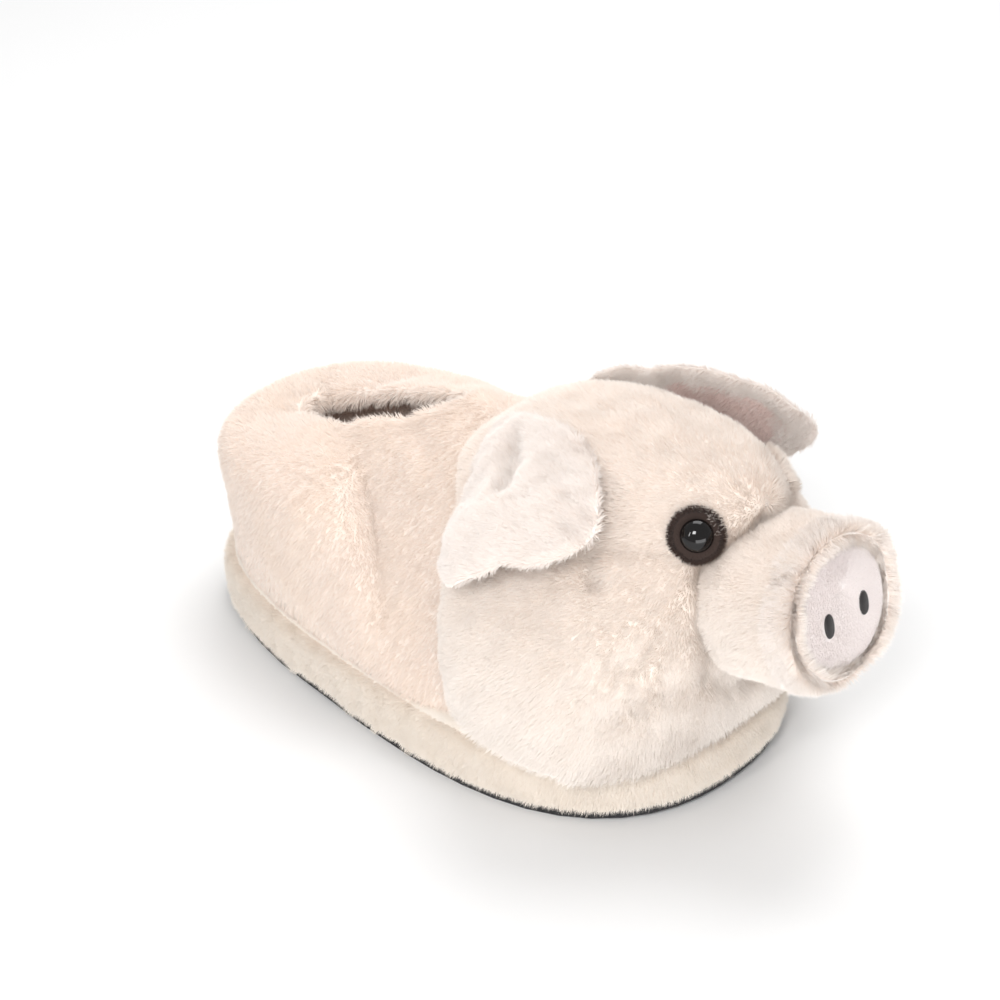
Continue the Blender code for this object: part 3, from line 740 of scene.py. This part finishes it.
def off_the_nose(points, normals):
    """1 on the barrel and its rim, 0 on the bed under the nose and inside the head."""
    away = points - SNOUT_MIDDLE
    oval = ((away @ SIDEWAYS) / (NOSE_WIDTH / 2)) ** 2 + ((away @ SNOUT_UP) / (NOSE_HEIGHT / 2)) ** 2
    return (oval > 0.98) * (snout_depth(points) < 0.050)


def from_the_rim(points):
    """Back towards the face and down; the rim's inner slope leans in over the nose's edge."""
    away = points - SNOUT_MIDDLE
    away = away - (away @ SNOUT_AHEAD)[:, None] * SNOUT_AHEAD
    oval = ((away @ SIDEWAYS) / (NOSE_WIDTH / 2)) ** 2 + ((away @ SNOUT_UP) / (NOSE_HEIGHT / 2)) ** 2
    roll = np.where(snout_depth(points) < 0.007, np.where(oval < 1.35, -1.5, 1.5), 0.0)
    return unit(away) * roll[:, None] - SNOUT_AHEAD - (0, 0, 0.6)


def on_the_rim(points, normals):
    return off_the_nose(points, normals) * (snout_depth(points) < 0.012)


snout_pile = pile("snout_pile", snout, 80000, 0.0042, from_the_rim, face, 31, lean=48, keep=off_the_nose)
wear(snout_pile, "cream_plush", "snout")
rim_pile = pile("snout_rim_pile", snout, 26000, 0.0050, from_the_rim, pale, 33, lean=40, tuft=0.22,
                keep=on_the_rim)
wear(rim_pile, "cream_plush", "snout")

# %% [markdown]
# The nose is an oval of felt-short pile, padded so that it stands a little proud. Its nostrils are satin
# stitch: threads laid side by side across a small oval, which show as fine ridges.

# %% Nose and nostrils
roll = np.linspace(0, QUARTER, 9)
nose_size = np.concatenate([0.90 + 0.10 * np.cos(roll), 0.9 * np.linspace(0.93, 0.0, 14)])
nose_depth = np.concatenate([NOSE_SUNK - NOSE_THICK * np.sin(roll), np.full(14, NOSE_SUNK - NOSE_THICK)])
nose_depth -= 0.0005 * np.maximum(1 - (nose_size / 0.9) ** 2, 0)
nose_grid = oval_points(turns(110)[None, :], NOSE_WIDTH / 2 * nose_size[:, None],
                        NOSE_HEIGHT / 2 * nose_size[:, None], nose_depth[:, None])
nose_grid = np.concatenate([np.repeat(nose_grid[:1].mean(axis=1, keepdims=True), 110, axis=1), nose_grid])
nose = skin("nose_felt", nose_grid, lilac)
mark_tips(nose, 0.8)
wear(nose, "nose_plush", "nose_disc", fill=0.8)

satin, satin_tree, satin_shader = principled("stitching", 0.35, 0.2)
satin_shader.inputs["Base Color"].default_value = (0.012, 0.009, 0.009, 1.0)
bump(satin_tree, satin_shader, noise(satin_tree, 2600.0, 2.0), 0.0001)
THREAD = 0.0007           # pitch of the satin stitches
THREAD_RIDGE = 0.00012    # how far each thread stands out
STITCH_RISE = 0.0011      # how far a nostril's middle stands out
stitch_front = NOSE_SUNK - NOSE_THICK - 0.0004
nostril_middles = []
for side, word in ((1, "left"), (-1, "right")):
    middle = (side * NOSTRIL_SPACING / 2, -NOSTRIL_DROP)
    share = np.linspace(1, 0, 26)[:, None]
    flat = oval_points(turns(96)[None, :], NOSTRIL_WIDTH / 2 * share, NOSTRIL_HEIGHT / 2 * share, 0.0, middle)
    threads = np.cos(2 * np.pi * (flat @ SNOUT_UP) / THREAD) * share ** 0.3
    dome = STITCH_RISE * np.sqrt(1 - share ** 2) + THREAD_RIDGE * threads
    flat = flat + (dome - stitch_front)[..., None] * SNOUT_AHEAD
    closed = np.concatenate([np.repeat(flat[:1].mean(axis=1, keepdims=True), 96, axis=1), flat])
    stitched = skin("nostril_stitch_" + word, closed, satin)
    wear(stitched, "stitching", "nostril_" + word)
    nostril_middles.append(flat[-1, 0])


def off_nostrils(points, normals):
    near = [np.linalg.norm((points - spot) / (1, 1, 1.6), axis=1) for spot in nostril_middles]
    return (np.minimum(*near) > 0.0036) * ((normals @ SNOUT_AHEAD) > 0.1)


def from_the_middle(points):
    return points - SNOUT_MIDDLE - (0, 0, 0.01)


nose_pile = pile("nose_pile", nose, 42000, 0.0010, from_the_middle, lilac, 32, lean=66, width=0.00026,
                 tuft=0.04, keep=off_nostrils)
wear(nose_pile, "nose_plush", "nose_disc")

# %% [markdown]
# The eyes are polished domes, each on a round of dark pile set into the head. A round piece is a profile
# of radius and height turned about the way out of its seat.

# %% Eyes
EYE_DIAMETER, EYE_BULGE, PATCH_DIAMETER, PATCH_THICK, SOCKET_DEPTH = 0.0135, 0.0048, 0.021, 0.0012, 0.003
EYES = (
    # word, side, turn in degrees, rise
    ("left", 1, 53.0, 0.790),
    ("right", -1, 39.0, 0.805),
)


def turned(seat, way, profile, count=64):
    """Rings of a profile of (radius, height) rows about a line out of a seat."""
    across = unit(np.cross(way, (0.0, 0.0, 1.0)))
    up = np.cross(across, way)
    turn = turns(count)[:, None]
    ring = np.cos(turn) * across + np.sin(turn) * up
    return seat + way * profile[:, 1][:, None, None] + ring * profile[:, 0][:, None, None]


polish, _, polish_shader = principled("eye_gloss", 0.05)
polish_shader.inputs["Base Color"].default_value = (0.004, 0.003, 0.003, 1.0)
polish_shader.inputs["IOR"].default_value = 1.45
bed = GAP - SOCKET_DEPTH
eye_seats = []
for word, side, turn, rise in EYES:
    seat, way = head_seat(side * np.radians(turn), rise)
    eye_seats.append(seat)
    radius = PATCH_DIAMETER / 2
    bend = np.linspace(0, QUARTER, 8)
    rows = np.stack([radius * (0.85 + 0.15 * np.cos(bend)), bed + PATCH_THICK * np.sin(bend)], axis=1)
    rows = np.vstack([(radius, bed - 0.0012), rows])
    patch = skin("eye_patch_felt_" + word, with_poles(turned(seat, way, rows)), brown)
    mark_tips(patch, 0.3)
    wear(patch, "patch_pile", "eye_patch_" + word, fill=0.6)
    base = bed + PATCH_THICK + GAP
    angle = np.linspace(0, QUARTER, 22)
    rows = np.stack([EYE_DIAMETER / 2 * np.cos(angle) ** 0.9, base + EYE_BULGE * np.sin(angle)], axis=1)
    rows = np.vstack([(EYE_DIAMETER / 2, base - 0.0006), rows])
    dome = skin("eye_dome_" + word, with_poles(turned(seat, way, rows, 96))[:-1], polish)
    wear(dome, "eye_gloss", "eye_" + word)

    def from_the_eye(points):
        return points - seat

    def off_the_dome(points, normals):
        return np.linalg.norm(points - seat, axis=1) > EYE_DIAMETER / 2

    ring = pile("eye_pile_" + word, patch, 7000, 0.0022, from_the_eye, brown, 41 + side, lean=34, tuft=0.25,
                width=0.0003, keep=off_the_dome)
    wear(ring, "patch_pile", "eye_patch_" + word)

# %% [markdown]
# With the eyes placed, the head gets its pile: combed away from the snout, longer over the rim that
# hangs on the band, tufted on the cheeks where it is rubbed, and left off under the eyes' dark rounds.

# %% Head's pile


def from_the_snout(points):
    return points - (SNOUT_MIDDLE - (0.035, 0, 0.0)) - (0.0, 0.0, 0.03)


def head_cover(points, normals):
    """1 on the head's own face: off the eyes, off its flat underside and off the part over the vamp."""
    nearest = np.minimum(*[np.linalg.norm(points - seat, axis=1) for seat in eye_seats])
    off = nearest > PATCH_DIAMETER / 2 - 0.0004
    under = (normals[:, 2] < -0.35) & (points[:, 0] < 0.11)
    barrel = snout_depth(points)
    away = points - SNOUT_MIDDLE + barrel[:, None] * SNOUT_AHEAD
    in_snout = np.linalg.norm(away, axis=1) < SNOUT_HEIGHT / 2 - 0.006
    return off & ~under & ~in_snout & (normals[:, 2] > -0.9)


def head_hair(points):
    return 0.0042 + 0.0016 * smooth((0.050 - points[:, 2]) / 0.02)


CHEEK = 0.030             # radius of the rubbed, tufted middle of each cheek
cheeks = [head_seat(np.radians(side * 44.0), 0.42)[0] for side in (1, -1)]


def cheek_tufts(points):
    """Tufts stand out in the middle of the cheeks and fade away from it."""
    near = np.minimum(*[np.linalg.norm(points - spot, axis=1) for spot in cheeks])
    return 0.11 + 0.18 * np.exp(-(near / CHEEK) ** 2)


BROW = 0.010              # radius of the longer tuft in front of the left eye
brow_spot, _ = head_seat(np.radians(44.0), 0.815)


def at_the_brow(points, normals):
    return (np.linalg.norm(points - brow_spot, axis=1) < BROW) * head_cover(points, normals)


brow_pile = pile("brow_pile", head, 3500, 0.0072, from_the_snout, face, 52, lean=34, keep=at_the_brow)
wear(brow_pile, "cream_plush", "head")

head_pile = pile("head_pile", head, 190000, head_hair, from_the_snout, face, 51, lean=50, tuft=cheek_tufts,
                 keep=head_cover)
wear(head_pile, "cream_plush", "head")

# %% [markdown]
# The ears are two leaves of plush sewn together and lined with short pink pile. An ear is a sheet: a
# share of the way to its edge, at a turn, with the edge read from a small table. It curls towards its
# inner face by a square law, and the sheet is offset both ways for its thickness.

# %% Ear sizes
EAR_LENGTH, EAR_WIDTH, EAR_THICK, LINING_SHARE, EAR_ROOT_RISE = 0.092, 0.086, 0.008, 0.74, 0.87
EAR_OUTLINE = (
    # turn in degrees from the ear's spread towards its reach, share of its half size
    (-105, 1.20), (-75, 0.93), (-45, 0.86), (-10, 0.89), (20, 1.03), (42, 1.14), (65, 0.94),
    (90, 0.75), (115, 0.82), (150, 0.96), (175, 0.90), (205, 0.72), (230, 0.92),
)
EARS = (
    # word, side, root in degrees, spread, reach, cup, perk
    ("left", 1, 141.0, (0.66, 0.12, 0.74), (0.54, 0.60, -0.59), 0.005, 0.001),
    ("right", -1, 150.0, (0.75, -0.33, 0.57), (0.40, 0.80, -0.27), 0.012, 0.002),
)
EAR_PILE = 0.0022


def ear_ways(spread, reach):
    """Spread, reach and back of an ear, made square to each other."""
    spread = unit(np.array(spread))
    reach = np.array(reach)
    reach = unit(reach - spread * (reach @ spread))
    return spread, reach, np.cross(spread, reach)


def ear_points(ear, share, turn, lift):
    """Sheet of an ear: its outline scaled by share, dipped by cup times the square of the way out."""
    _, side, root_turn, spread, reach, cup, perk = ear
    spread, reach, rear = ear_ways(spread, reach)
    table = read_rows(EAR_OUTLINE, np.linspace(0, len(EAR_OUTLINE), 721), loop=360.0)
    size = np.interp(np.degrees(turn), table[:, 0], table[:, 1])
    root, root_size = np.radians(EAR_OUTLINE[0][0]), EAR_OUTLINE[0][1]
    along, down = share * size * np.cos(turn), share * size * np.sin(turn)
    dip = cup * (along ** 2 + np.maximum(down, 0) ** 2) - perk * (1 - share ** 2)
    seat, _ = head_seat(np.radians(root_turn), EAR_ROOT_RISE)
    place = (seat + (along - root_size * np.cos(root))[..., None] * EAR_WIDTH / 2 * spread
             + (down - root_size * np.sin(root))[..., None] * EAR_LENGTH / 2 * reach
             + (lift - dip)[..., None] * rear)
    return place * (1, side, 1)


# %% [markdown]
# Each ear is pinched where it is sewn on, so a tuck runs out from its root. Leaf and lining are tucked
# by the same rule, or the lining would come through. The leaf's pile also covers the lining's border.

# %% Ears
PINCH = ((-88, 0.62), (-80, 0.30), (0, 0.05))    # path of (turn, share) of the tuck in an ear's back
TUCK_DEEP, TUCK_WIDE = 0.0055, 0.005
SKIN_SHARE = 0.965        # the skin's edge, short of the pile's tips


def ear_sheets(ear, share, turn, lifts):
    """Sheets of an ear, each lifted by a share of the skin's half thickness and metres more, and tucked."""
    half = (EAR_THICK / 2 - EAR_PILE) * np.sqrt(np.maximum(1 - (share / SKIN_SHARE) ** 4, 0))
    path = [ear_points(ear, np.array(s), np.radians(t), np.array(0.0)) for t, s in PINCH]
    middle = ear_points(ear, share, turn, 0.0 * turn * share)
    tuck = TUCK_DEEP * np.exp(-(path_distance(middle, path) / TUCK_WIDE) ** 2)
    return [ear_points(ear, share, turn, face * half + more - tuck) for face, more in lifts]


ear_turn = np.radians(EAR_OUTLINE[0][0]) + turns(140)[None, :]
share = (1 - (1 - np.linspace(0, 1, 26)) ** 1.4)[:, None]
for number, ear in enumerate(EARS):
    word, side = ear[:2]
    spread, reach, rear = ear_ways(*ear[3:5])
    faces = ear_sheets(ear, share * SKIN_SHARE, ear_turn, ((1, 0), (-1, 0)))
    grid = np.concatenate([faces[0], faces[1][-2::-1]])
    wave = ripple(grid.reshape(-1, 3), 0.028, 60 + number)[:, 0].reshape(grid.shape[:2])
    grid = grid + (wave * 0.0009)[..., None] * rear * (1, side, 1)
    cover = np.concatenate([np.ones(26), (share[-2::-1, 0] > 0.68).astype(float)])[:, None]
    leaf = skin("ear_skin_" + word, grid, pale, cover=cover)
    mark_tips(leaf)
    wear(leaf, "cream_plush", "ear_" + word, fill=0.5)

    rise = 0.0012 * np.sqrt(1 - share ** 6)
    lined = ear_sheets(ear, share * LINING_SHARE, ear_turn, ((-1, 0.0004), (-1, -rise)))
    grid = np.concatenate([lined[0], lined[1][-2::-1]])
    lining = skin("ear_lining_skin_" + word, grid, pink, cover=1.0)
    mark_tips(lining, 0.5)
    wear(lining, "ear_plush", "ear_lining_" + word, fill=0.4)

    to_root = (-0.5 * reach - spread) * (1, side, 1)
    inner_way = -rear * (1, side, 1)

    def towards_the_root(points):
        return to_root + 0 * points

    def on_the_face(points, normals):
        return (normals @ inner_way) > 0

    hairs = pile("ear_pile_" + word, leaf, 58000, 0.0040, towards_the_root, pale, 61 + number, lean=52)
    wear(hairs, "cream_plush", "ear_" + word)
    hairs = pile("ear_lining_pile_" + word, lining, 16000, 0.0030, towards_the_root, pink, 71 + number,
                 lean=56, keep=on_the_face)
    wear(hairs, "ear_plush", "ear_lining_" + word)

# %% [markdown]
# The tread and the insole keep the solids' shapes. The tread is a thin dark sheet with a fine grain, and
# the insole is tan fleece, which shows only through the collar; its tan is also painted shade for the dim
# inside.

# %% Tread and insole
rubber, rubber_tree, rubber_shader = principled("tread", 0.72)
dark = blend(rubber_tree, ranged(rubber_tree, noise(rubber_tree, 400.0), 0.35, 0.65, 0.0, 1.0),
             (0.012, 0.012, 0.014), (0.030, 0.029, 0.031))
rubber_tree.links.new(dark, rubber_shader.inputs["Base Color"])
bump(rubber_tree, rubber_shader, noise(rubber_tree, 1400.0, 2.0), 0.0003)
for word, material in (("outsole", rubber), ("insole", tan_lining_and_shade)):
    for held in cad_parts[word].material_slots:
        held.material = material

# %% [markdown]
# A plain white floor and soft studio light. One wide lamp hangs overhead and a little behind, a smaller
# one stands by the camera, a low one fills the chin, and the white sky lifts the shadows. A narrow lamp
# like a window gives the eyes their highlights.

# %% Floor and light
floor_mesh = bpy.data.meshes.new("floor")
floor_mesh.from_pydata([(-6, -6, 0), (6, -6, 0), (6, 6, 0), (-6, 6, 0)], [], [(0, 1, 2, 3)])
white, _, white_shader = principled("floor_white", 0.9)
white_shader.inputs["Base Color"].default_value = (0.95, 0.95, 0.95, 1.0)
floor_mesh.materials.append(white)
floor = bpy.data.objects.new("floor", floor_mesh)
bpy.context.scene.collection.objects.link(floor)


def lamp(name, place, aim, size, power):
    light = bpy.data.lights.new(name, "AREA")
    light.shape = "RECTANGLE"
    light.size, light.size_y = size
    light.energy = power
    made = bpy.data.objects.new(name, light)
    bpy.context.scene.collection.objects.link(made)
    made.location = place
    made.rotation_mode = "QUATERNION"
    made.rotation_quaternion = (Vector(place) - Vector(aim)).to_track_quat("Z", "Y")


lamp("overhead", (-0.28, 0.60, 1.40), (0.0, 0.0, 0.05), (1.0, 1.0), 12.0)
lamp("camera_side", (0.66, -1.08, 1.05), (0.05, 0.0, 0.06), (0.35, 0.35), 8.3)
lamp("low_fill", (0.95, -0.50, 0.14), (0.08, 0.0, 0.06), (0.8, 0.25), 2.4)
lamp("window", (0.15, -0.85, 0.55), (0.13, -0.03, 0.13), (0.05, 0.30), 1.0)

sky = bpy.data.worlds.new("sky")
bpy.context.scene.world = sky
sky.use_nodes = True
sky.node_tree.nodes["Background"].inputs["Color"].default_value = (1.0, 1.0, 1.0, 1.0)
sky.node_tree.nodes["Background"].inputs["Strength"].default_value = 0.55
bpy.context.scene.view_settings.view_transform = "Standard"
